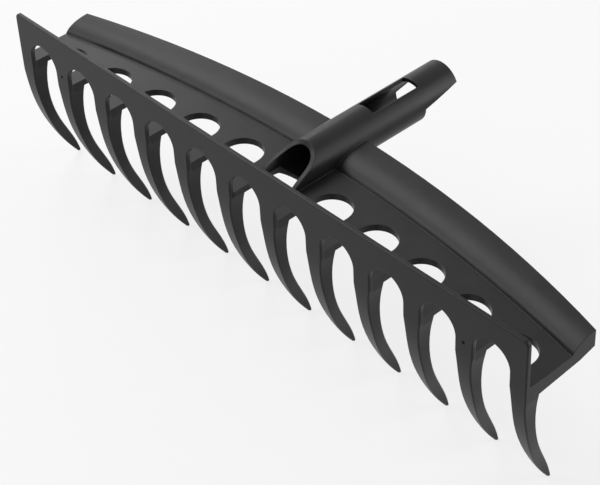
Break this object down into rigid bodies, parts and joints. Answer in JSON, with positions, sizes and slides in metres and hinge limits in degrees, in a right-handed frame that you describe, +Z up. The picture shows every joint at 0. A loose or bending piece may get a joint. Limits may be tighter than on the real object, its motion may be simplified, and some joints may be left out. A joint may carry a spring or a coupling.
{
  "type": "garden rake head",
  "caption": "Moulded plastic rake head: a straight comb of curved tines under a plate, a slotted web, a levelling blade behind it and a round handle socket.",
  "frame": {"origin": "on the axis of the handle socket, in the plane where the socket's full round wall ends and its upper half carries on", "axes": "+X along the comb, +Y along the socket towards the handle, +Z up, away from the tips of the tines"},
  "size_m": [0.4174, 0.1571, 0.1174],
  "materials": {
    "black_plastic": "satin moulded plastic with a very fine grain"
  },
  "bodies": {
    "root": {"rake_head": "black_plastic"}
  },
  "joints": []
}
